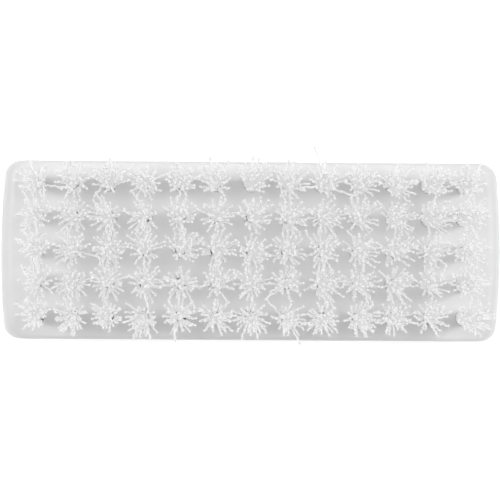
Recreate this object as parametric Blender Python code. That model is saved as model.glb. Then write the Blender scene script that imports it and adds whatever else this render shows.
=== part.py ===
"""Nail brush: a moulded plastic block with finger grooves and 65 tufts of crimped nylon bristle.

The brush lies on its flat back with the bristles up. +X runs along it, +Y across it and +Z up from
the back, and the origin is the middle of the back. All sizes are in metres.

The bristles of one column are one solid with the slice of block that their five holes are drilled
in. A slice lies flush in a slot of the block and goes as deep as the holes.
"""

import math
import random

import bmesh
import bpy
from mathutils import Matrix, Vector

# Moulded block
BLOCK_LENGTH = 0.106  # between the middles of the bowed ends
BLOCK_WIDTH = 0.038
BLOCK_THICKNESS = 0.015
END_BOW_RADIUS = 0.166
CORNER_RADIUS = 0.0034
BACK_EDGE_RADIUS = 0.004
FACE_SIDE_RADIUS = 0.0008  # rounding of the bristle face along the long sides
FACE_END_RADIUS = 0.003  # rounding of the bristle face at the two ends
MOULD_DRAFT = 0.0002  # how far each wall leans in between the grooves and the bristle face

# Finger grooves, one along each long side
GROOVE_DEPTH = 0.0017
GROOVE_LAND = 0.0006  # flat wall left between a groove and the roundings above and below it
GROOVE_END_MARGIN = 0.013  # from the end of the block to the start of a groove
GROOVE_RUN_OUT = 0.011  # length over which a groove comes to its full depth

# Pattern of tuft holes
TUFT_COLUMNS = 13
TUFT_ROWS = 5
END_MARGIN = 0.00835  # from the end of the block to the middle of the first column
SIDE_MARGIN = 0.00513  # from the side of the block to the middle of the first row
HOLE_RADIUS = 0.00155
HOLE_DEPTH = 0.007

# Slices of the block that carry the tufts
SLICE_WALL = 0.0006  # plastic round each hole
SEAT_GAP = 0.0003  # between a slice and its slot
CUT_OVERRUN = 0.002

# Bristles
STRANDS_PER_TUFT = 6
TUFT_HEIGHT = 0.015  # from the bristle face to the trimmed tips
TRIM_VARIATION = 0.0004
STRAND_ROOT_RADIUS = 0.00042  # of the circle round a strand's three edges, above the root
STRAND_TIP_RADIUS = 0.00033
STRAND_CLEARANCE = 0.00025  # between the strands of neighbouring tufts
ROW_FAN = 0.0002  # how much further apart the tips of two rows are than their holes
COLUMN_FAN = 0.0001  # the same for two columns

# A strand goes through these heights, with these shares of its flare and of its crimp
STATION_SHARES = ((0.22, 0.12, 0.8), (0.6, 0.48, -1.0), (1.0, 1.0, 1.0))
LEAST_FLARE_SHARE = 0.35
CRIMP_SHARE = 0.55
PATTERN_SEED = 7

# Fineness of the curved outlines
SIDE_SEGMENTS = 7  # of half a long side
CORNER_SEGMENTS = 4
END_SEGMENTS = 3  # of half an end
EDGE_SEGMENTS = 4
GROOVE_SEGMENTS = 6
SLICE_END_SEGMENTS = 6

# Finishes: base colour, roughness
BLOCK_FINISH = ((0.86, 0.86, 0.85, 1.0), 0.42)
BRISTLE_FINISH = ((0.90, 0.90, 0.90, 1.0), 0.35)

# Worked out from the sizes above
COLUMN_PITCH = (BLOCK_LENGTH - 2 * END_MARGIN) / (TUFT_COLUMNS - 1)
ROW_PITCH = (BLOCK_WIDTH - 2 * SIDE_MARGIN) / (TUFT_ROWS - 1)
SLICE_RADIUS = HOLE_RADIUS + SLICE_WALL
SECTOR_ANGLE = 2 * math.pi / STRANDS_PER_TUFT
TIP_SPREAD = min(COLUMN_PITCH, ROW_PITCH) / 2 - STRAND_TIP_RADIUS - STRAND_CLEARANCE / 2


def clear_scene():
    """Removes the startup objects."""
    for obj in list(bpy.data.objects):
        bpy.data.objects.remove(obj)


def plastic(name, finish):
    """A plain moulded plastic."""
    colour, roughness = finish
    material = bpy.data.materials.new(name)
    material.use_nodes = True
    shader = material.node_tree.nodes["Principled BSDF"]
    shader.inputs["Base Color"].default_value = colour
    shader.inputs["Roughness"].default_value = roughness
    shader.inputs["Metallic"].default_value = 0.0
    material.diffuse_color = colour
    return material


def add_object(name, bm, material=None, parent=None, location=(0, 0, 0)):
    """Turns a bmesh into an object, shaded smooth with its hard edges kept."""
    bmesh.ops.recalc_face_normals(bm, faces=bm.faces)
    mesh = bpy.data.meshes.new(name)
    bm.to_mesh(mesh)
    bm.free()
    mesh.shade_smooth()
    mesh.set_sharp_from_angle(angle=math.radians(40))
    if material:
        mesh.materials.append(material)
    obj = bpy.data.objects.new(name, mesh)
    obj.location = location
    obj.parent = parent
    bpy.context.scene.collection.objects.link(obj)
    return obj


def groove_depth_at(x, height_share):
    """Depth of a finger groove at a place along the block and at a share of the groove's height."""
    start = BLOCK_LENGTH / 2 - GROOVE_END_MARGIN
    along = min(1.0, max(0.0, (start - abs(x)) / GROOVE_RUN_OUT))
    ease = along * along * (3 - 2 * along)
    return GROOVE_DEPTH * ease * math.sin(math.pi * height_share)


def outline_quarter(end_inset, side_inset, groove_share):
    """Points from the middle of the right end round the corner to the middle of the far side."""
    half_length = BLOCK_LENGTH / 2 - end_inset
    half_width = BLOCK_WIDTH / 2 - side_inset
    bow_centre = half_length - END_BOW_RADIUS
    corner_y = half_width - CORNER_RADIUS
    reach = END_BOW_RADIUS - CORNER_RADIUS
    corner_x = bow_centre + math.sqrt(reach**2 - corner_y**2)
    bow_angle = math.atan2(corner_y, corner_x - bow_centre)
    points = []
    for i in range(END_SEGMENTS):
        angle = bow_angle * i / END_SEGMENTS
        points.append((bow_centre + END_BOW_RADIUS * math.cos(angle), END_BOW_RADIUS * math.sin(angle)))
    for i in range(CORNER_SEGMENTS):
        angle = bow_angle + (math.pi / 2 - bow_angle) * i / CORNER_SEGMENTS
        x = corner_x + CORNER_RADIUS * math.cos(angle)
        y = corner_y + CORNER_RADIUS * math.sin(angle)
        points.append((x, y))
    for i in range(SIDE_SEGMENTS + 1):
        x = corner_x * (1 - i / SIDE_SEGMENTS)
        points.append((x, half_width - groove_depth_at(x, groove_share)))
    return points


def block_outline(end_inset, side_inset, groove_share=0.0):
    """The whole outline of the block at one level, anticlockwise from the middle of the right end."""
    quarter = outline_quarter(end_inset, side_inset, groove_share)
    half = quarter + [(-x, y) for x, y in reversed(quarter[:-1])]
    return half + [(x, -y) for x, y in reversed(half[1:-1])]


def rounding(radius, depth):
    """How far a rounded edge has drawn in at a depth below its flat face."""
    return radius - math.sqrt(radius**2 - (radius - depth) ** 2) if depth < radius else 0.0


def block_levels():
    """Height and outline of the block at each level, from its back to its bristle face."""
    levels = []
    for i in range(EDGE_SEGMENTS + 1):
        angle = math.pi / 2 * i / EDGE_SEGMENTS
        inset = BACK_EDGE_RADIUS * (1 - math.sin(angle))
        levels.append((BACK_EDGE_RADIUS * (1 - math.cos(angle)), block_outline(inset, inset)))
    groove_bottom = BACK_EDGE_RADIUS + GROOVE_LAND
    groove_top = BLOCK_THICKNESS - FACE_END_RADIUS - GROOVE_LAND
    for i in range(GROOVE_SEGMENTS + 1):
        share = i / GROOVE_SEGMENTS
        height = groove_bottom + (groove_top - groove_bottom) * share
        draft = MOULD_DRAFT * share
        levels.append((height, block_outline(draft, draft, share)))
    side_depths = []
    for i in range(EDGE_SEGMENTS + 1):
        angle = math.pi / 2 * i / EDGE_SEGMENTS
        side_depths.append(FACE_SIDE_RADIUS * (1 - math.cos(angle)))
    end_depths = []
    steepest = math.acos(max(0.0, 1 - FACE_SIDE_RADIUS / FACE_END_RADIUS))
    for i in range(1, EDGE_SEGMENTS + 1):
        angle = steepest + (math.pi / 2 - steepest) * i / EDGE_SEGMENTS
        end_depths.append(FACE_END_RADIUS * (1 - math.cos(angle)))
    for depth in reversed(side_depths + end_depths):
        end_inset = MOULD_DRAFT + rounding(FACE_END_RADIUS, depth)
        side_inset = MOULD_DRAFT + rounding(FACE_SIDE_RADIUS, depth)
        levels.append((BLOCK_THICKNESS - depth, block_outline(end_inset, side_inset)))
    return levels


def ring_of_edges(bm, points, height):
    """A closed ring of edges through flat points at one height."""
    corners = [bm.verts.new((x, y, height)) for x, y in points]
    return [bm.edges.new((corners[i - 1], corners[i])) for i in range(len(corners))]


def block_mesh():
    """The block, lofted through its levels and closed at its back and face."""
    bm = bmesh.new()
    rings = [ring_of_edges(bm, points, height) for height, points in block_levels()]
    for lower, upper in zip(rings, rings[1:]):
        bmesh.ops.bridge_loops(bm, edges=lower + upper)
    bmesh.ops.contextual_create(bm, geom=rings[0])
    bmesh.ops.contextual_create(bm, geom=rings[-1])
    return bm


def column_x(column):
    """Middle of a column of tufts."""
    return (column - (TUFT_COLUMNS - 1) / 2) * COLUMN_PITCH


def row_y(row):
    """Middle of a row of tufts."""
    return (row - (TUFT_ROWS - 1) / 2) * ROW_PITCH


def slice_outline(radius, middle_x=0.0):
    """The stadium outline at this distance round the holes of one column."""
    points = []
    for side, start in ((1, 0.0), (-1, math.pi)):
        for i in range(SLICE_END_SEGMENTS + 1):
            angle = start + math.pi * i / SLICE_END_SEGMENTS
            y = side * row_y(TUFT_ROWS - 1) + radius * math.sin(angle)
            points.append((middle_x + radius * math.cos(angle), y))
    return points


def slot_cutter(parent):
    """One prism for each column, a seat gap larger than its slice. It only cuts the block."""
    bm = bmesh.new()
    for column in range(TUFT_COLUMNS):
        floor = BLOCK_THICKNESS - HOLE_DEPTH - SEAT_GAP
        points = slice_outline(SLICE_RADIUS + SEAT_GAP, column_x(column))
        ring = ring_of_edges(bm, points, floor)
        base = bmesh.ops.contextual_create(bm, geom=ring)["faces"]
        top = bmesh.ops.extrude_face_region(bm, geom=base)["geom"]
        corners = [v for v in top if isinstance(v, bmesh.types.BMVert)]
        rise = HOLE_DEPTH + SEAT_GAP + CUT_OVERRUN
        bmesh.ops.translate(bm, vec=(0, 0, rise), verts=corners)
    cutter = add_object("slot_cutter", bm, parent=parent)
    cutter.hide_render = True
    cutter.display_type = "WIRE"
    return cutter


def make_block(material, parent):
    """The moulded block with its thirteen slots."""
    block = add_object("block", block_mesh(), material, parent)
    slots = block.modifiers.new("slots", "BOOLEAN")
    slots.operation = "DIFFERENCE"
    slots.solver = "EXACT"
    slots.object = slot_cutter(parent)
    return block


def tuft_root(bm, centre, turn):
    """The bundle where it leaves its hole, as one flat face for each strand round a shared middle."""
    hub = bm.verts.new(centre)
    rim = []
    for i in range(STRANDS_PER_TUFT):
        angle = turn + i * SECTOR_ANGLE
        rim.append(bm.verts.new(centre + HOLE_RADIUS * Vector((math.cos(angle), math.sin(angle), 0))))
    sectors = [bm.faces.new((hub, rim[i], rim[(i + 1) % STRANDS_PER_TUFT])) for i in range(STRANDS_PER_TUFT)]
    edge = [bm.edges.get((rim[i - 1], rim[i])) for i in range(STRANDS_PER_TUFT)]
    return sectors, edge


def extrude_strand(bm, root, centre, angle, lean, dice):
    """Draws a strand up from its sector of the root. It stays inside the sector, so none cross."""
    outward = Vector((math.cos(angle), math.sin(angle), 0))
    sideways = Vector((-math.sin(angle), math.cos(angle), 0))
    start = (root.calc_center_median() - centre).length
    flare = (TIP_SPREAD - start) * dice.uniform(LEAST_FLARE_SHARE, 1.0)
    crimp = CRIMP_SHARE * dice.uniform(-1.0, 1.0)
    height = TUFT_HEIGHT - TRIM_VARIATION * dice.random()
    width = start  # a sector's middle lies as far from the hub as from its corners
    face = root
    for height_share, flare_share, crimp_share in STATION_SHARES:
        radius = STRAND_ROOT_RADIUS + (STRAND_TIP_RADIUS - STRAND_ROOT_RADIUS) * height_share
        out = start + flare * flare_share
        room = out * math.sin(SECTOR_ANGLE / 2) - radius
        side = crimp * crimp_share * room
        target = centre + out * outward + side * sideways + lean * height_share
        target.z = centre.z + height * height_share
        face = bmesh.ops.extrude_discrete_faces(bm, faces=[face])["faces"][0]
        middle = face.calc_center_median()
        shrink = Vector((radius / width, radius / width, 1))
        bmesh.ops.scale(bm, vec=shrink, space=Matrix.Translation(-middle), verts=face.verts)
        bmesh.ops.translate(bm, vec=target - middle, verts=face.verts)
        width = radius


def column_mesh(column):
    """The slice under one column with its tufts. Its middle on the bristle face is at zero."""
    dice = random.Random(PATTERN_SEED + column)
    bm = bmesh.new()
    lower = ring_of_edges(bm, slice_outline(SLICE_RADIUS), -HOLE_DEPTH)
    upper = ring_of_edges(bm, slice_outline(SLICE_RADIUS), 0.0)
    bmesh.ops.bridge_loops(bm, edges=lower + upper)
    bmesh.ops.contextual_create(bm, geom=lower)
    tufts = []
    face_edges = list(upper)
    for row in range(TUFT_ROWS):
        centre = Vector((0, row_y(row), 0))
        turn = dice.uniform(0, SECTOR_ANGLE)
        sectors, edge = tuft_root(bm, centre, turn)
        tufts.append((row, centre, turn, sectors))
        face_edges += edge
    bmesh.ops.triangle_fill(bm, use_beauty=True, edges=face_edges)
    for row, centre, turn, sectors in tufts:
        fan_x = COLUMN_FAN * (column - (TUFT_COLUMNS - 1) / 2)
        fan_y = ROW_FAN * (row - (TUFT_ROWS - 1) / 2)
        for i, sector in enumerate(sectors):
            angle = turn + (i + 0.5) * SECTOR_ANGLE
            extrude_strand(bm, sector, centre, angle, Vector((fan_x, fan_y, 0)), dice)
    return bm


def make_tuft_columns(material, parent):
    """Thirteen columns of five tufts."""
    for column in range(TUFT_COLUMNS):
        name = f"tuft_column_{column + 1:02d}"
        place = (column_x(column), 0, BLOCK_THICKNESS)
        add_object(name, column_mesh(column), material, parent, place)


def main():
    clear_scene()
    brush = bpy.data.objects.new("nail_brush", None)
    bpy.context.scene.collection.objects.link(brush)
    make_block(plastic("block_plastic", BLOCK_FINISH), brush)
    make_tuft_columns(plastic("bristle_nylon", BRISTLE_FINISH), brush)


main()
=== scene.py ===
"""Nail brush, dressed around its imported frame.

The block is one white moulding with a drilled hole for each tuft. A tuft is a bundle of crimped
nylon filaments, held down in its hole by a flat wire anchor. All sizes are in metres. The brush lies
on its back with the bristles up: +X runs along it, +Y across it and +Z up.
"""

import math
import random
from typing import NamedTuple

import bmesh
import bpy
from bpy.props import FloatProperty, FloatVectorProperty, IntProperty, PointerProperty
from bpy.types import Operator, Panel, PropertyGroup
from mathutils import Euler, Matrix, Quaternion, Vector


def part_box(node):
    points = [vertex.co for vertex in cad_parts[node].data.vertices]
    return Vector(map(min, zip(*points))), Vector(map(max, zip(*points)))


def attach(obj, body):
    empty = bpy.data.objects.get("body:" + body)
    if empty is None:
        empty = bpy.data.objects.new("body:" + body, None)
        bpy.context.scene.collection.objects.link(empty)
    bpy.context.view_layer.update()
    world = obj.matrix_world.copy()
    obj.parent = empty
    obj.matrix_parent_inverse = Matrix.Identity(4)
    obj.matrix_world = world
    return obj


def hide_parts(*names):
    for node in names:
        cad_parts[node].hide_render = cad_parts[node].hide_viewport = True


bl_info = {
    "name": "Nail Brush",
    "version": (1, 0, 0),
    "blender": (4, 5, 0),
    "location": "View3D > Sidebar > Nail Brush",
    "description": "Builds a moulded nail brush with tufts of crimped nylon around its packed frame",
    "category": "Add Mesh",
}

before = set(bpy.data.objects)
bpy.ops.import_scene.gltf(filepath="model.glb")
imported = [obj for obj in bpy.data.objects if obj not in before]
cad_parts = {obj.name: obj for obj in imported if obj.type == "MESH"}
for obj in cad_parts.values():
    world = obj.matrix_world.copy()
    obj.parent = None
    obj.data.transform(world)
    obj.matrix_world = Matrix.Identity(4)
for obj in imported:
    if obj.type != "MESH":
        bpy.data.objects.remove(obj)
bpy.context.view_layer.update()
BLOCK_LOW, BLOCK_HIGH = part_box("block")
BODY = "root"
UP = Vector((0, 0, 1))
SHARP_ANGLE = math.radians(35)  # an edge between faces that meet at more than this stays hard

# Fineness of the block
SIDE_SEGMENTS = 20  # of half a long side
CORNER_SEGMENTS = 8
END_SEGMENTS = 8  # of half an end
EDGE_SEGMENTS = 6
GROOVE_SEGMENTS = 16
HOLE_SEGMENTS = 24

# Fineness of the floor
FLOOR_SEGMENTS = 96
COVE_SEGMENTS = 12

# Fineness of a filament
FILAMENT_SIDES = 4
FREE_STEPS = 16  # rings above the bristle face

# How the filaments of a tuft are set out. A pair holds the ends of a range for random draws.
GOLDEN_ANGLE = math.pi * (3 - math.sqrt(5))  # from one filament to the next, which spreads them evenly
ARM_COUNT = (5, 9)
ARM_TURN = 0.35  # how far an arm turns out of its even place, as a share of the way to the next
TUFT_OPENNESS = (0.75, 1.2)  # factor on the spread of all the arms of a tuft
ARM_SPREAD = (0.5, 1.3)  # further factor on the spread of each arm
ARM_PULL = (0.1, 0.7)  # from 0, where a filament leans the way of its arm, to 1, where it leans its own way
GAP_TURN = 0.5  # spread of the side of the hole where a gap is, in radians
GAP_REACH = (0.6, 0.95)  # place of a gap, as a share of the way to the wall of the hole
STRAY_LEAN = (0.35, 0.85)  # slope
STRAY_BEND = (1.0, 2.5)  # the higher, the nearer to its tip a stray filament bends
ROOT_LEAN = 0.5  # share of the lean of the tuft that its filaments have at the root
TRIM = (-1.0, 0.3)  # from the shortest to the longest filament, in trim variations

# Crimp of the filaments
CRIMP_WAVES = 4  # places in the wave at which the arms start
CRIMP_SHIFT = 0.3  # spread of that place among the filaments of an arm, in radians
CRIMP_TURN = 0.5  # spread of the direction of the waves, in radians
CRIMP_ONSET = 1 / 3  # share of the free length over which the waves grow to their full height

# Painted glow and tone along a filament: shares of the painted glow, and of the way from the lighter to the
# darker tint
PAINTED_GLOW_RISE_STEPS = 2  # rings over which the painted glow of a filament rises from none in its hole, a painted shade, to full
TIP_GLOW = 0.75  # share of the painted glow left at the tips, faded as if less light were scattered back there
CUT_END_GLOW = 0.93  # share of the painted glow on the cut ends round the rim of a tuft, a painted highlight where light caught in a filament would come out
CUT_END_PAINTED_SHADE = 0.72  # how much darker the colour of the cut ends is than the rest of their filament, a painted shade that tempers the light on their upward faces

# Cut ends
CUT_END_LENGTH = 0.0003
CUT_END_BURR = 1.35  # how much the trimming has spread them

# Finish of the plastic. A noise has its scale, in waves to the metre, and its detail. Tints are factors
# on the colour.
EVEN_SCATTER = (1.0, 1.0, 1.0)  # red, green and blue light go equally deep
PLASTIC_SCATTER = 0.12
PLASTIC_SCATTER_DEPTH = 0.0012
PLASTIC_TINTS = (0.985, 1.012)
PLASTIC_ROUGHNESS = (0.34, 0.50)
FLOW_NOISE = (22, 3)
PATCH_NOISE = (160, 4)
GRAIN_NOISE = (2600, 2)
GRAIN_STRENGTH = 0.12
GRAIN_DEPTH = 0.00003

# Finish of the nylon
NYLON_SCATTER = 0.35
NYLON_SCATTER_DEPTH = 0.0004
NYLON_REFRACTION = 1.53
NYLON_TINTS = (0.88, 0.79)
NYLON_ROUGHNESS = (0.4, 0.56)
SHEEN_NOISE = (900, 2)

# Finish of the wire
WIRE_ROUGHNESS = (0.28, 0.5)
MARK_NOISE = (4000, 3)
MARK_STRENGTH = 0.2
MARK_DEPTH = 0.00001

# Stage
FLOOR_ROUGHNESS = 0.9
SOFTBOX_DISTANCE = 0.7  # from the middle of the bristle face
SOFTBOXES = (  # name, turn from +X and rise in degrees, size
    ("top", 0, 90, 0.5),
    ("right", 12, 46, 0.2),
    ("left", 172, 46, 0.2),
)
SENSOR_WIDTH = 36  # in millimetres, as the focal length that goes with it
NEAREST_SEEN = 0.01
FARTHEST_SEEN = 20


class BlockSettings(PropertyGroup):
    """Sizes and colour of the moulded block."""

    length: FloatProperty(
        name="Length", description="Between the middles of the two bowed ends",
        default=BLOCK_HIGH.x - BLOCK_LOW.x, unit="LENGTH")
    width: FloatProperty(
        name="Width", description="Between the two long sides",
        default=BLOCK_HIGH.y - BLOCK_LOW.y, unit="LENGTH")
    thickness: FloatProperty(
        name="Thickness", description="From the back to the bristle face",
        default=BLOCK_HIGH.z - BLOCK_LOW.z, unit="LENGTH")
    end_bow_radius: FloatProperty(
        name="End bow", description="Radius of each bowed end, seen from above",
        default=0.166, unit="LENGTH")
    corner_radius: FloatProperty(
        name="Corners", description="Radius of the four corners, seen from above",
        default=0.0034, unit="LENGTH")
    back_edge_radius: FloatProperty(
        name="Back edge", description="Rounding all round the back",
        default=0.004, unit="LENGTH")
    face_side_radius: FloatProperty(
        name="Face side edge", description="Rounding of the bristle face along the long sides",
        default=0.0008, unit="LENGTH")
    face_end_radius: FloatProperty(
        name="Face end edge", description="Rounding of the bristle face at the two ends",
        default=0.003, unit="LENGTH")
    mould_draft: FloatProperty(
        name="Draft", description="How far each wall leans in towards the bristle face",
        default=0.0002, unit="LENGTH")
    groove_depth: FloatProperty(
        name="Groove depth", description="Depth of the finger groove along each side",
        default=0.0017, unit="LENGTH")
    groove_land: FloatProperty(
        name="Groove land", description="Flat wall between a groove and the roundings next to it",
        default=0.0006, unit="LENGTH")
    groove_end_margin: FloatProperty(
        name="Groove margin", description="From the end of the block to the start of a groove",
        default=0.013, unit="LENGTH")
    groove_run_out: FloatProperty(
        name="Groove run-out", description="Length over which a groove comes to its full depth",
        default=0.011, unit="LENGTH")
    colour: FloatVectorProperty(
        name="Colour", description="Colour of the moulded plastic",
        default=(0.85, 0.85, 0.85, 1.0), size=4, min=0, max=1, subtype="COLOR")


class PatternSettings(PropertyGroup):
    """Places and sizes of the tuft holes."""

    columns: IntProperty(name="Columns", description="Columns of tufts along the brush", default=13)
    rows: IntProperty(name="Rows", description="Rows of tufts across the brush", default=5)
    end_margin: FloatProperty(
        name="End margin", description="From the end of the block to the middle of the first column",
        default=0.00835, unit="LENGTH")
    side_margin: FloatProperty(
        name="Side margin", description="From the side of the block to the middle of the first row",
        default=0.00513, unit="LENGTH")
    hole_radius: FloatProperty(
        name="Hole radius", description="Radius of a tuft hole", default=0.00155, unit="LENGTH")
    hole_depth: FloatProperty(
        name="Hole depth", description="Depth of a tuft hole", default=0.007, unit="LENGTH")
    hole_chamfer: FloatProperty(
        name="Hole chamfer", description="Broken edge at the mouth of a hole",
        default=0.00005, unit="LENGTH")


class BristleSettings(PropertyGroup):
    """Sizes, shape and colour of the filaments."""

    ends_per_tuft: IntProperty(
        name="Ends per tuft", description="Filament ends that stand in one hole", default=45)
    wall_ends: IntProperty(
        name="Ends at the wall", description="Those of them that stand against the wall of the hole",
        default=21)
    filament_radius: FloatProperty(
        name="Filament radius", description="Half the thickness of one filament",
        default=0.0002, unit="LENGTH")
    free_length: FloatProperty(
        name="Free length", description="Length of a filament above the bristle face",
        default=0.015, unit="LENGTH")
    trim_variation: FloatProperty(
        name="Trim variation", description="How uneven the trimmed ends are",
        default=0.0005, unit="LENGTH")
    crimp_size: FloatProperty(
        name="Crimp size", description="Height of the crimp waves on either side of the middle line",
        default=0.00015, unit="LENGTH")
    crimp_pitch: FloatProperty(
        name="Crimp pitch", description="Length of one crimp wave", default=0.00375, unit="LENGTH")
    fan: FloatProperty(
        name="Fan", description="Slope at which a tuft opens evenly towards its rim", default=0.165)
    spread: FloatProperty(
        name="Spread", description="Slope at which the arms at the rim of a tuft lean out beyond that",
        default=0.185)
    core_power: FloatProperty(
        name="Core", description="How sharply the arms stand apart from the core of their tuft",
        default=4.0)
    straggle: FloatProperty(
        name="Straggle", description="Random lean of each filament, as a slope", default=0.04)
    drift: FloatProperty(
        name="Drift", description="Random lean of each whole tuft, as a slope", default=0.035)
    common_lean: FloatVectorProperty(
        name="Common lean", description="Slope at which all the tufts lean along and across the brush",
        default=(0.027, 0.027), size=2)
    outward_lean: FloatProperty(
        name="Outward lean", description="Slope at which the tufts of the side rows lean outwards",
        default=0.03)
    stray_share: FloatProperty(
        name="Stray share", description="Share of filaments that are bent out of their tuft",
        default=0.04, min=0, max=1)
    gap_share: FloatProperty(
        name="Gaps", description="Share of tufts that are packed loosely and leave a gap in their hole",
        default=0.6, min=0, max=1)
    gap_turn: FloatProperty(
        name="Gap side", description="Side of the hole where gaps are, from the length of the brush",
        default=math.radians(-40), subtype="ANGLE")
    gap_radius: FloatProperty(
        name="Gap radius", description="Filaments rooted this close to the gap are missing",
        default=0.00023, unit="LENGTH")
    colour: FloatVectorProperty(
        name="Colour", description="Colour of the nylon",
        default=(0.95, 0.95, 0.95, 1.0), size=4, min=0, max=1, subtype="COLOR")
    # Painted glow: strength of the emission that stands in for light scattered among the filaments
    glow: FloatProperty(
        name="Glow", description="Light that the milky nylon hands on from inside", default=0.185, min=0)
    seed: IntProperty(name="Seed", description="Start of the random draws", default=16)


class AnchorSettings(PropertyGroup):
    """Sizes and colour of the wire anchors."""

    height: FloatProperty(
        name="Height", description="Height of the flat wire", default=0.0011, unit="LENGTH")
    thickness: FloatProperty(
        name="Thickness", description="Thickness of the flat wire", default=0.0003, unit="LENGTH")
    edge_radius: FloatProperty(
        name="Edge rounding", description="Rounding of the wire's edges", default=0.0001, unit="LENGTH")
    turn: FloatProperty(
        name="Turn", description="Direction of the anchors, from the length of the brush",
        default=math.radians(35), subtype="ANGLE")
    colour: FloatVectorProperty(
        name="Colour", description="Colour of the wire",
        default=(0.62, 0.60, 0.57, 1.0), size=4, min=0, max=1, subtype="COLOR")


class StageSettings(PropertyGroup):
    """Camera, floor and lights."""

    camera_place: FloatVectorProperty(
        name="Camera place", description="Place of the camera above the middle of the bristle face",
        default=(-0.0065, -0.0075, 0.45), size=3, subtype="TRANSLATION", unit="LENGTH")
    camera_aim: FloatVectorProperty(
        name="Camera aim", description="Point of the bristle face in the middle of the picture",
        default=(-0.0002, 0.00019, 0.0), size=3, subtype="TRANSLATION", unit="LENGTH")
    view_width: FloatProperty(
        name="View width", description="What the camera takes in at the level of the bristle face",
        default=0.1052, unit="LENGTH")
    camera_turn: FloatProperty(
        name="Camera turn", description="How far the camera is turned about its line of sight",
        default=math.radians(0.4), subtype="ANGLE")
    floor_radius: FloatProperty(
        name="Floor radius", description="Radius of the round floor", default=3.0, unit="LENGTH")
    cove_radius: FloatProperty(
        name="Cove radius", description="Radius at which the rim of the floor turns up",
        default=0.4, unit="LENGTH")
    floor_colour: FloatVectorProperty(
        name="Floor colour", description="Colour of the floor",
        default=(0.93, 0.93, 0.93, 1.0), size=4, min=0, max=1, subtype="COLOR")
    sky_colour: FloatVectorProperty(
        name="Surround colour", description="Colour of the light from all round",
        default=(1.0, 1.0, 1.0), size=3, min=0, max=1, subtype="COLOR")
    sky_strength: FloatProperty(
        name="Surround strength", description="Strength of the light from all round", default=0.19)
    floor_glow: FloatProperty(
        name="Floor glow", description="Light that the floor gives off, like a light table",
        default=0.45, min=0)
    far_glow: FloatProperty(
        name="Far glow", description="Light that the floor gives off where the softboxes don't reach",
        default=0.65, min=0)
    softbox_reach: FloatVectorProperty(
        name="Softbox reach",
        description="Where the light of the softboxes starts to fade on the floor, and where it ends",
        default=(0.35, 0.85), size=2, unit="LENGTH")
    top_power: FloatProperty(
        name="Top softbox", description="Power of the softbox overhead", default=1.36, unit="POWER")
    right_power: FloatProperty(
        name="Right softbox", description="Power of the softbox off the right end",
        default=1.65, unit="POWER")
    left_power: FloatProperty(
        name="Left softbox", description="Power of the softbox off the left end",
        default=1.5, unit="POWER")


def finish_piece(name, bm, material, nodes=()):
    """Turns a bmesh into a finished piece of the brush, shaded smooth with its hard edges kept."""
    bmesh.ops.recalc_face_normals(bm, faces=bm.faces)
    mesh = bpy.data.meshes.new(name)
    bm.to_mesh(mesh)
    bm.free()
    mesh.shade_smooth()
    mesh.set_sharp_from_angle(angle=SHARP_ANGLE)
    mesh.materials.append(material)
    piece = bpy.data.objects.new(name, mesh)
    bpy.context.scene.collection.objects.link(piece)
    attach(piece, BODY)
    if nodes:
        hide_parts(*nodes)


def ring_of_edges(bm, points, height):
    """A closed ring of edges through flat points at one height."""
    corners = [bm.verts.new((x, y, height)) for x, y in points]
    return [bm.edges.new((corners[i - 1], corners[i])) for i in range(len(corners))]


def circle_of_edges(bm, centre, radius, segments):
    """A level circle of edges."""
    made = bmesh.ops.create_circle(
        bm, cap_ends=False, segments=segments, radius=radius, matrix=Matrix.Translation(centre))
    return list({edge for vert in made["verts"] for edge in vert.link_edges})


def extend_ring(bm, ring):
    """Extrudes a closed ring of edges, and gives its new corners and the new ring."""
    made = bmesh.ops.extrude_edge_only(bm, edges=ring)["geom"]
    corners = [item for item in made if isinstance(item, bmesh.types.BMVert)]
    edges = [item for item in made if isinstance(item, bmesh.types.BMEdge)
             and all(vert in corners for vert in item.verts)]
    return corners, edges


def new_material(name):
    """A material with its nodes, its links and its Principled shader."""
    material = bpy.data.materials.new(name)
    material.use_nodes = True
    nodes = material.node_tree.nodes
    return material, nodes, material.node_tree.links, nodes["Principled BSDF"]


def tinted(colour, factor):
    """A colour made lighter or darker by a factor."""
    return (*(Vector(colour).xyz * factor), 1)


def add_noise(nodes, links, scale, detail):
    """A noise pattern on Object coordinates. The scale is in waves to the metre."""
    place = nodes.new("ShaderNodeTexCoord")
    noise = nodes.new("ShaderNodeTexNoise")
    noise.inputs["Scale"].default_value = scale
    noise.inputs["Detail"].default_value = detail
    links.new(place.outputs["Object"], noise.inputs["Vector"])
    return noise.outputs["Fac"]


def add_attribute(nodes, name):
    """A value that each corner of the mesh carries."""
    attribute = nodes.new("ShaderNodeAttribute")
    attribute.attribute_name = name
    return attribute.outputs["Fac"]


def add_mix(nodes, links, factor, first, second):
    """Goes from a first to a second colour as the factor goes from 0 to 1."""
    mix = nodes.new("ShaderNodeMix")
    mix.data_type = "RGBA"
    mix.inputs["A"].default_value = first
    mix.inputs["B"].default_value = second
    links.new(factor, mix.inputs["Factor"])
    return mix.outputs["Result"]


def add_bump(nodes, links, height, strength, distance):
    """Normals for a fine relief."""
    bump = nodes.new("ShaderNodeBump")
    bump.inputs["Strength"].default_value = strength
    bump.inputs["Distance"].default_value = distance
    links.new(height, bump.inputs["Height"])
    return bump.outputs["Normal"]


def add_range(nodes, links, value, low, high, start=0.0, end=1.0):
    """Maps a value from start and end onto low and high."""
    span = nodes.new("ShaderNodeMapRange")
    span.inputs["From Min"].default_value = start
    span.inputs["From Max"].default_value = end
    span.inputs["To Min"].default_value = low
    span.inputs["To Max"].default_value = high
    links.new(value, span.inputs["Value"])
    return span.outputs["Result"]


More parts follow.
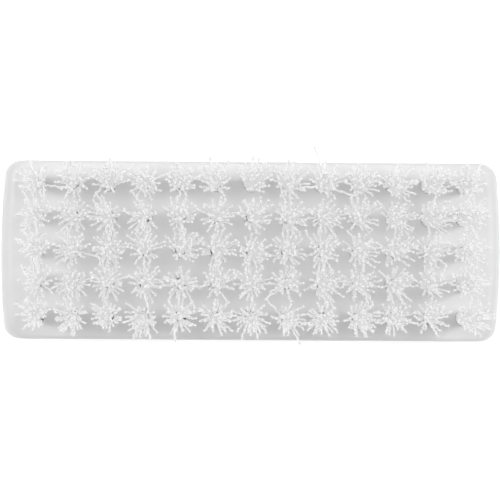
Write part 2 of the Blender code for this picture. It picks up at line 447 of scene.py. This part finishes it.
def plastic_material(settings):
    """White satin plastic with the faint grain and flow marks of a moulding."""
    material, nodes, links, shader = new_material("moulded_white_plastic")
    shader.inputs["Subsurface Weight"].default_value = PLASTIC_SCATTER
    shader.inputs["Subsurface Radius"].default_value = EVEN_SCATTER
    shader.inputs["Subsurface Scale"].default_value = PLASTIC_SCATTER_DEPTH

    flow = add_noise(nodes, links, *FLOW_NOISE)
    tint = add_mix(nodes, links, flow, *(tinted(settings.colour, factor) for factor in PLASTIC_TINTS))
    links.new(tint, shader.inputs["Base Color"])

    patches = add_noise(nodes, links, *PATCH_NOISE)
    links.new(add_range(nodes, links, patches, *PLASTIC_ROUGHNESS), shader.inputs["Roughness"])

    grain = add_noise(nodes, links, *GRAIN_NOISE)
    links.new(add_bump(nodes, links, grain, GRAIN_STRENGTH, GRAIN_DEPTH), shader.inputs["Normal"])
    return material


def nylon_material(settings):
    """Milky nylon. Each filament has its own tone. What is out of the holes has a painted glow, an emission
    that stands in for light scattered among the filaments, and the holes have none, which is painted shade.
    """
    material, nodes, links, shader = new_material("crimped_nylon")
    shader.inputs["Subsurface Weight"].default_value = NYLON_SCATTER
    shader.inputs["Subsurface Radius"].default_value = EVEN_SCATTER
    shader.inputs["Subsurface Scale"].default_value = NYLON_SCATTER_DEPTH
    shader.inputs["IOR"].default_value = NYLON_REFRACTION
    # Painted glow: this emission stands in for light scattered among the filaments
    shader.inputs["Emission Strength"].default_value = settings.glow

    # Share of the painted glow: none in the holes, a painted shade, full above the face, fading to the
    # tips, with a painted highlight on the cut ends
    daylight = add_attribute(nodes, "daylight")
    glow = add_mix(nodes, links, daylight, tinted(settings.colour, 0), settings.colour)
    links.new(glow, shader.inputs["Emission Color"])

    # Base colour: each filament's random tone, and the darker tint on the cut ends, which is painted shade
    tone = add_attribute(nodes, "tone")
    tint = add_mix(nodes, links, tone, *(tinted(settings.colour, factor) for factor in NYLON_TINTS))
    links.new(tint, shader.inputs["Base Color"])

    sheen = add_noise(nodes, links, *SHEEN_NOISE)
    links.new(add_range(nodes, links, sheen, *NYLON_ROUGHNESS), shader.inputs["Roughness"])
    return material


def wire_material(settings):
    """Drawn steel wire with fine marks along it."""
    material, nodes, links, shader = new_material("drawn_wire")
    shader.inputs["Base Color"].default_value = settings.colour
    shader.inputs["Metallic"].default_value = 1.0
    marks = add_noise(nodes, links, *MARK_NOISE)
    links.new(add_range(nodes, links, marks, *WIRE_ROUGHNESS), shader.inputs["Roughness"])
    links.new(add_bump(nodes, links, marks, MARK_STRENGTH, MARK_DEPTH), shader.inputs["Normal"])
    return material


def column_x(block, pattern, column):
    """Middle of a column of tufts."""
    pitch = (block.length - 2 * pattern.end_margin) / (pattern.columns - 1)
    return (column - (pattern.columns - 1) / 2) * pitch


def row_y(block, pattern, row):
    """Middle of a row of tufts."""
    pitch = (block.width - 2 * pattern.side_margin) / (pattern.rows - 1)
    return (row - (pattern.rows - 1) / 2) * pitch


def groove_depth_at(block, x, height_share):
    """Depth of a finger groove at a place along the block and at a share of the groove's height."""
    start = block.length / 2 - block.groove_end_margin
    along = min(1.0, max(0.0, (start - abs(x)) / block.groove_run_out))
    ease = along * along * (3 - 2 * along)
    return block.groove_depth * ease * math.sin(math.pi * height_share)


def outline_quarter(block, end_inset, side_inset, groove_share):
    """Points from the middle of the right end round the corner to the middle of the far side."""
    half_length = block.length / 2 - end_inset
    half_width = block.width / 2 - side_inset
    bow_centre = half_length - block.end_bow_radius
    corner_y = half_width - block.corner_radius
    reach = block.end_bow_radius - block.corner_radius
    corner_x = bow_centre + math.sqrt(reach**2 - corner_y**2)
    bow_angle = math.atan2(corner_y, corner_x - bow_centre)
    points = []
    for i in range(END_SEGMENTS):
        angle = bow_angle * i / END_SEGMENTS
        points.append((
            bow_centre + block.end_bow_radius * math.cos(angle),
            block.end_bow_radius * math.sin(angle)))
    for i in range(CORNER_SEGMENTS):
        angle = bow_angle + (math.pi / 2 - bow_angle) * i / CORNER_SEGMENTS
        points.append((
            corner_x + block.corner_radius * math.cos(angle),
            corner_y + block.corner_radius * math.sin(angle)))
    for i in range(SIDE_SEGMENTS + 1):
        x = corner_x * (1 - i / SIDE_SEGMENTS)
        points.append((x, half_width - groove_depth_at(block, x, groove_share)))
    return points


def block_outline(block, end_inset, side_inset, groove_share=0.0):
    """The whole outline of the block at one level, anticlockwise from the middle of the right end."""
    quarter = outline_quarter(block, end_inset, side_inset, groove_share)
    half = quarter + [(-x, y) for x, y in reversed(quarter[:-1])]
    return half + [(x, -y) for x, y in reversed(half[1:-1])]


def rounding(radius, depth):
    """How far a rounded edge has drawn in at a depth below its flat face."""
    return radius - math.sqrt(radius**2 - (radius - depth) ** 2) if depth < radius else 0.0


def quarter_turn():
    """Angles from nothing to a quarter turn, for a rounded edge."""
    return [math.pi / 2 * i / EDGE_SEGMENTS for i in range(EDGE_SEGMENTS + 1)]


def block_levels(block):
    """Height and outline of the block at each level, from its back to its bristle face."""
    radius = block.back_edge_radius
    back_rim = radius + block.face_side_radius
    levels = [(0.0, block_outline(block, back_rim, back_rim))]
    for angle in quarter_turn():
        inset = radius * (1 - math.sin(angle))
        levels.append((radius * (1 - math.cos(angle)), block_outline(block, inset, inset)))
    groove_bottom = radius + block.groove_land
    groove_top = block.thickness - block.face_end_radius - block.groove_land
    for i in range(GROOVE_SEGMENTS + 1):
        share = i / GROOVE_SEGMENTS
        draft = block.mould_draft * share
        height = groove_bottom + (groove_top - groove_bottom) * share
        levels.append((height, block_outline(block, draft, draft, share)))
    side, end = block.face_side_radius, block.face_end_radius
    steepest = math.acos(1 - side / end)
    depths = [side * (1 - math.cos(angle)) for angle in quarter_turn()]
    for angle in quarter_turn()[1:]:
        share = angle / (math.pi / 2)
        depths.append(end * (1 - math.cos(steepest + (math.pi / 2 - steepest) * share)))
    for depth in reversed(depths):
        insets = [block.mould_draft + rounding(edge, depth) for edge in (end, side)]
        levels.append((block.thickness - depth, block_outline(block, *insets)))
    insets = [block.mould_draft + edge + side / 2 for edge in (end, side)]
    levels.append((block.thickness, block_outline(block, *insets)))
    return levels


def drill_hole(bm, rim, centre, pattern):
    """Takes a rim on the bristle face down into a chamfered blind hole."""
    mouth = pattern.hole_radius / (pattern.hole_radius + pattern.hole_chamfer)
    for drop, shrink in ((pattern.hole_chamfer, mouth), (pattern.hole_depth, 1.0)):
        corners, rim = extend_ring(bm, rim)
        bmesh.ops.scale(
            bm, vec=(shrink, shrink, 1), space=Matrix.Translation(-centre), verts=corners)
        bmesh.ops.translate(bm, vec=(0, 0, -drop), verts=corners)
    bmesh.ops.contextual_create(bm, geom=rim)


def block_mesh(block, pattern):
    """The block, lofted through its levels and drilled through its bristle face."""
    bm = bmesh.new()
    rings = [ring_of_edges(bm, points, height) for height, points in block_levels(block)]
    for lower, upper in zip(rings, rings[1:]):
        bmesh.ops.bridge_loops(bm, edges=lower + upper)
    bmesh.ops.contextual_create(bm, geom=rings[0])
    rims = []
    for column in range(pattern.columns):
        for row in range(pattern.rows):
            centre = Vector((
                column_x(block, pattern, column), row_y(block, pattern, row), block.thickness))
            radius = pattern.hole_radius + pattern.hole_chamfer
            rims.append((centre, circle_of_edges(bm, centre, radius, HOLE_SEGMENTS)))
    face_edges = rings[-1] + [edge for _, rim in rims for edge in rim]
    bmesh.ops.triangle_fill(bm, use_beauty=True, edges=face_edges, normal=UP)
    for centre, rim in rims:
        drill_hole(bm, rim, centre, pattern)
    return bm


class Filament(NamedTuple):
    """One filament: the points up its middle, its tone and the painted glow of its cut end."""

    points: list
    tone: float
    end_glow: float


def level_way(angle):
    """The level direction at an angle from +X."""
    return Vector((math.cos(angle), math.sin(angle), 0))


def draw_arms(bristles, gap_turn, dice):
    """The arms that a tuft splits into on either side of its gap: way, lean, and run of the crimp."""
    count = dice.randint(*ARM_COUNT)
    turn = gap_turn + math.pi / count
    openness = dice.uniform(*TUFT_OPENNESS)
    arms = []
    for i in range(count):
        angle = turn + 2 * math.pi * (i + dice.uniform(-ARM_TURN, ARM_TURN)) / count
        lean = bristles.spread * openness * dice.uniform(*ARM_SPREAD)
        wave = 2 * math.pi * dice.randrange(CRIMP_WAVES) / CRIMP_WAVES
        arms.append((level_way(angle), lean, wave, dice.uniform(0, math.pi)))
    return arms


def part_at_anchor(place, packed, bristles, anchors):
    """Moves a filament's foot out of the way of the anchor, which parts each tuft in two halves."""
    aside = Vector((-math.sin(anchors.turn), math.cos(anchors.turn), 0))
    gap = bristles.filament_radius + anchors.thickness / 2
    distance = place.dot(aside)
    parted = math.copysign(gap + abs(distance) * (1 - gap / packed), distance)
    moved = place + aside * (parted - distance)
    return moved.normalized() * min(packed, moved.length)


def tuft_filaments(block, pattern, bristles, anchors, column, row, dice):
    """The filaments of one tuft."""
    outward = bristles.outward_lean * (2 * row / (pattern.rows - 1) - 1)
    drift = Vector((
        bristles.common_lean[0] + dice.gauss(0, bristles.drift),
        bristles.common_lean[1] + outward + dice.gauss(0, bristles.drift), 0))
    gap_turn = bristles.gap_turn + dice.gauss(0, GAP_TURN)
    arms = draw_arms(bristles, gap_turn, dice)
    middle = Vector((column_x(block, pattern, column), row_y(block, pattern, row), block.thickness))
    packed = pattern.hole_radius - bristles.filament_radius
    gap = level_way(gap_turn) * packed * dice.uniform(*GAP_REACH)
    gap_radius = bristles.gap_radius if dice.random() < bristles.gap_share else 0.0
    inner_ends = bristles.ends_per_tuft - bristles.wall_ends
    filaments = []
    for i in range(bristles.ends_per_tuft):
        share = math.sqrt((i + 0.5) / bristles.ends_per_tuft)
        own = level_way(i * GOLDEN_ANGLE)
        inner_reach = (packed - 2 * bristles.filament_radius) * math.sqrt((i + 0.5) / inner_ends)
        mouth = own * (inner_reach if i < inner_ends else packed)
        if (mouth - gap).length < gap_radius:
            continue
        foot = part_at_anchor(mouth, packed, bristles, anchors) - UP * pattern.hole_depth
        way, lean, wave, crimp_turn = max(arms, key=lambda arm: arm[0].dot(own))
        tip_lean = drift + own * bristles.fan * share
        tip_lean += lean * share**bristles.core_power * way.lerp(own, dice.uniform(*ARM_PULL))
        tip_lean += Vector((dice.gauss(0, bristles.straggle), dice.gauss(0, bristles.straggle), 0))
        bend = 1.0
        if dice.random() < bristles.stray_share:
            stray_way = level_way(dice.uniform(0, 2 * math.pi))
            tip_lean += stray_way * dice.uniform(*STRAY_LEAN)
            bend = dice.uniform(*STRAY_BEND)
        crimp_turn += dice.gauss(0, CRIMP_TURN)
        length = bristles.free_length + dice.uniform(*TRIM) * bristles.trim_variation
        course = (drift * ROOT_LEAN, tip_lean, bend)
        crimp = (wave + dice.gauss(0, CRIMP_SHIFT), crimp_turn)
        filaments.append(Filament(
            filament_points(middle + foot, middle + mouth, course, length, crimp, bristles),
            # a random tone of the filament's own, kept below the darker tint that the cut ends get as
            # painted shade
            dice.uniform(0, 1 - CUT_END_PAINTED_SHADE),
            # painted highlight: the glow of the cut end, brighter for the filaments towards the rim of the
            # tuft
            TIP_GLOW + (CUT_END_GLOW - TIP_GLOW) * share**2))
    return filaments


def filament_points(foot, mouth, course, length, crimp, bristles):
    """Points up the middle of a filament: straight out of its hole, then over and in crimp waves."""
    root_lean, tip_lean, bend = course
    wave, crimp_turn = crimp
    crimp_side = level_way(crimp_turn) * bristles.crimp_size
    points = [foot, mouth]
    place = mouth.copy()
    for step in range(1, FREE_STEPS + 1):
        share = step / FREE_STEPS
        lean = root_lean.lerp(tip_lean, share**bend)
        place = place + (UP + lean).normalized() * (length / FREE_STEPS)
        phase = wave + 2 * math.pi * length * share / bristles.crimp_pitch
        swing = math.sin(phase) - math.sin(wave)
        points.append(place + crimp_side * swing * min(1.0, share / CRIMP_ONSET))
    points.append(points[-1] + (UP + tip_lean).normalized() * CUT_END_LENGTH)
    return points


def grow_filaments(bm, filaments, bristles):
    """Draws every filament along its middle line, ring by ring, and closes its lower end."""
    tone_and_end_shade_layer = bm.verts.layers.float.new("tone")
    painted_glow_layer = bm.verts.layers.float.new("daylight")
    corner = bristles.filament_radius * math.pi / (FILAMENT_SIDES * math.sin(math.pi / FILAMENT_SIDES))
    number_layer = bm.faces.layers.int.new("filament")
    tips = []
    for number, filament in enumerate(filaments):
        made = bmesh.ops.create_circle(
            bm, cap_ends=True, segments=FILAMENT_SIDES, radius=corner,
            matrix=Matrix.Translation(filament.points[0]))
        for vert in made["verts"]:
            vert[tone_and_end_shade_layer] = filament.tone
        tips.append(made["verts"][0].link_faces[0])
        tips[-1][number_layer] = number
    foot_edges = [edge for face in tips for edge in face.edges]
    old_ways = [UP] * len(filaments)
    steps = len(filaments[0].points)
    for step in range(1, steps):
        tips = bmesh.ops.extrude_discrete_faces(bm, faces=tips)["faces"]
        for face in tips:
            number = face[number_layer]
            points = filaments[number].points
            way = (points[min(step + 1, steps - 1)] - points[step - 1]).normalized()
            turn = old_ways[number].rotation_difference(way)
            for vert in face.verts:
                vert.co = points[step] + turn @ (vert.co - points[step - 1])
                # Painted glow along the filament: none in the hole, a painted shade, then rising over the
                # first rings and fading towards the tip
                vert[painted_glow_layer] = (
                    min(1.0, step / PAINTED_GLOW_RISE_STEPS) * (1 - (1 - TIP_GLOW) * step / (steps - 1)))
            old_ways[number] = way
    for face in tips:
        middle = face.calc_center_median()
        for vert in face.verts:
            # Painted shade: a darker colour that tempers the light the upward cut ends catch
            vert[tone_and_end_shade_layer] += CUT_END_PAINTED_SHADE
            # Painted highlight: the cut end's own share of the painted glow
            vert[painted_glow_layer] = filaments[face[number_layer]].end_glow
            vert.co = middle + (vert.co - middle) * CUT_END_BURR
    bmesh.ops.edgeloop_fill(bm, edges=foot_edges)
    bm.faces.layers.int.remove(number_layer)


class NAILBRUSH_OT_block(Operator):
    """Build the moulded block with its tuft holes"""

    bl_idname = "nailbrush.block"
    bl_label = "Moulded Block"

    def execute(self, context):
        block, pattern = context.scene.nail_block, context.scene.nail_pattern
        bm = block_mesh(block, pattern)
        finish_piece("moulded_block", bm, plastic_material(block), ["block"])
        return {"FINISHED"}


class NAILBRUSH_OT_bristles(Operator):
    """Build the tufts of crimped filaments, a column at a time"""

    bl_idname = "nailbrush.bristles"
    bl_label = "Bristles"

    def execute(self, context):
        scene = context.scene
        block, pattern, bristles = scene.nail_block, scene.nail_pattern, scene.nail_bristles
        anchors = scene.nail_anchors
        material = nylon_material(bristles)
        for column in range(pattern.columns):
            dice = random.Random(bristles.seed * 1000 + column)
            bm = bmesh.new()
            filaments = []
            for row in range(pattern.rows):
                filaments += tuft_filaments(block, pattern, bristles, anchors, column, row, dice)
            grow_filaments(bm, filaments, bristles)
            name = f"bristles_{column + 1:02d}"
            finish_piece(name, bm, material, [f"tuft_column_{column + 1:02d}"])
        return {"FINISHED"}


class NAILBRUSH_OT_anchors(Operator):
    """Build the flat wire anchor at the bottom of each hole"""

    bl_idname = "nailbrush.anchors"
    bl_label = "Anchors"

    def execute(self, context):
        scene = context.scene
        block, pattern, anchors = scene.nail_block, scene.nail_pattern, scene.nail_anchors
        material = wire_material(anchors)
        for column in range(pattern.columns):
            bm = bmesh.new()
            for row in range(pattern.rows):
                place = Vector((
                    column_x(block, pattern, column), row_y(block, pattern, row),
                    block.thickness - pattern.hole_depth + anchors.height))
                size = Matrix.Diagonal((
                    2 * pattern.hole_radius - anchors.thickness, anchors.thickness, anchors.height, 1))
                turn = Matrix.Rotation(anchors.turn, 4, "Z")
                bmesh.ops.create_cube(bm, size=1.0, matrix=Matrix.Translation(place) @ turn @ size)
            bmesh.ops.bevel(
                bm, geom=bm.edges, offset=anchors.edge_radius, segments=1, profile=0.5,
                affect="EDGES", material=-1)
            finish_piece(f"anchors_{column + 1:02d}", bm, material)
        return {"FINISHED"}


def floor_mesh(stage):
    """A round floor whose rim turns up in a cove, so that no horizon shows behind the brush."""
    bm = bmesh.new()
    rim = circle_of_edges(bm, Vector(), stage.floor_radius, FLOOR_SEGMENTS)
    bmesh.ops.contextual_create(bm, geom=rim)
    reach = stage.floor_radius
    height = 0.0
    for step in range(1, COVE_SEGMENTS + 1):
        angle = math.pi / 2 * step / COVE_SEGMENTS
        new_reach = stage.floor_radius + stage.cove_radius * math.sin(angle)
        new_height = stage.cove_radius * (1 - math.cos(angle))
        corners, rim = extend_ring(bm, rim)
        widening = new_reach / reach
        bmesh.ops.scale(bm, vec=(widening, widening, 1), verts=corners)
        bmesh.ops.translate(bm, vec=(0, 0, new_height - height), verts=corners)
        reach, height = new_reach, new_height
    bmesh.ops.recalc_face_normals(bm, faces=bm.faces)
    mesh = bpy.data.meshes.new("floor")
    bm.to_mesh(mesh)
    bm.free()
    mesh.shade_smooth()
    return mesh


def floor_material(stage):
    """Pale lit paper, which glows more where the light of the softboxes fades."""
    material, nodes, links, shader = new_material("floor_paper")
    shader.inputs["Base Color"].default_value = stage.floor_colour
    shader.inputs["Roughness"].default_value = FLOOR_ROUGHNESS
    shader.inputs["Emission Color"].default_value = stage.floor_colour
    place = nodes.new("ShaderNodeTexCoord")
    reach = nodes.new("ShaderNodeVectorMath")
    reach.operation = "LENGTH"
    links.new(place.outputs["Object"], reach.inputs[0])
    glow = add_range(
        nodes, links, reach.outputs["Value"], stage.floor_glow, stage.far_glow, *stage.softbox_reach)
    links.new(glow, shader.inputs["Emission Strength"])
    return material


def add_floor(stage):
    """The floor, which isn't part of the brush."""
    mesh = floor_mesh(stage)
    mesh.materials.append(floor_material(stage))
    floor = bpy.data.objects.new("floor", mesh)
    bpy.context.scene.collection.objects.link(floor)


def add_surround(stage):
    """Even light from all round."""
    world = bpy.data.worlds.new("surround")
    world.use_nodes = True
    sky = world.node_tree.nodes["Background"]
    sky.inputs["Color"].default_value = (*stage.sky_colour, 1)
    sky.inputs["Strength"].default_value = stage.sky_strength
    bpy.context.scene.world = world


def add_softbox(name, target, way, size, power):
    """A square area light that lies one way from its target and faces it."""
    data = bpy.data.lights.new(name, "AREA")
    data.size = size
    data.energy = power
    light = bpy.data.objects.new(name, data)
    light.location = target + way * SOFTBOX_DISTANCE
    light.rotation_euler = way.to_track_quat("Z", "Y").to_euler()
    light.visible_camera = False
    bpy.context.scene.collection.objects.link(light)


def add_camera(stage, face_middle):
    """The camera above the bristle face, with the view that the photo has."""
    data = bpy.data.cameras.new("camera")
    data.sensor_width = SENSOR_WIDTH
    sight = Vector(stage.camera_aim) - Vector(stage.camera_place)
    data.lens = data.sensor_width * sight.length / stage.view_width
    data.clip_start = NEAREST_SEEN
    data.clip_end = FARTHEST_SEEN
    camera = bpy.data.objects.new("camera", data)
    camera.location = face_middle + Vector(stage.camera_place)
    turn = (-UP).rotation_difference(sight) @ Quaternion(UP, stage.camera_turn)
    camera.rotation_euler = turn.to_euler()
    scene = bpy.context.scene
    scene.collection.objects.link(camera)
    scene.camera = camera
    scene.view_settings.view_transform = "Standard"


class NAILBRUSH_OT_stage(Operator):
    """Set the floor, the softboxes and the camera"""

    bl_idname = "nailbrush.stage"
    bl_label = "Stage"

    def execute(self, context):
        stage = context.scene.nail_stage
        face_middle = UP * context.scene.nail_block.thickness
        add_floor(stage)
        add_surround(stage)
        for name, turn, rise, size in SOFTBOXES:
            way = Euler((0, -math.radians(rise), math.radians(turn))).to_matrix() @ Vector((1, 0, 0))
            add_softbox(f"{name}_softbox", face_middle, way, size, getattr(stage, f"{name}_power"))
        add_camera(stage, face_middle)
        return {"FINISHED"}


class NAILBRUSH_PT_panel(Panel):
    """Lists the parts of the brush in the sidebar of the 3D view"""

    bl_idname = "NAILBRUSH_PT_panel"
    bl_label = "Nail Brush"
    bl_space_type = "VIEW_3D"
    bl_region_type = "UI"
    bl_category = "Nail Brush"

    def draw(self, context):
        for operator, groups in STEPS:
            box = self.layout.box()
            for group in groups:
                settings = getattr(context.scene, group)
                for field in settings.bl_rna.properties:
                    if field.identifier not in ("rna_type", "name"):
                        box.prop(settings, field.identifier)
            box.operator(operator)


SETTINGS = {
    "nail_block": BlockSettings,
    "nail_pattern": PatternSettings,
    "nail_bristles": BristleSettings,
    "nail_anchors": AnchorSettings,
    "nail_stage": StageSettings,
}
STEPS = (
    ("nailbrush.block", ("nail_block", "nail_pattern")),
    ("nailbrush.bristles", ("nail_bristles",)),
    ("nailbrush.anchors", ("nail_anchors",)),
    ("nailbrush.stage", ("nail_stage",)),
)
CLASSES = (
    *SETTINGS.values(),
    NAILBRUSH_OT_block,
    NAILBRUSH_OT_bristles,
    NAILBRUSH_OT_anchors,
    NAILBRUSH_OT_stage,
    NAILBRUSH_PT_panel,
)


def register():
    for cls in CLASSES:
        bpy.utils.register_class(cls)
    for name, cls in SETTINGS.items():
        setattr(bpy.types.Scene, name, PointerProperty(type=cls))


def unregister():
    for name in SETTINGS:
        delattr(bpy.types.Scene, name)
    for cls in reversed(CLASSES):
        bpy.utils.unregister_class(cls)


def main():
    register()
    bpy.ops.nailbrush.block()
    bpy.ops.nailbrush.bristles()
    bpy.ops.nailbrush.anchors()
    bpy.ops.nailbrush.stage()


if __name__ == "__main__":
    main()
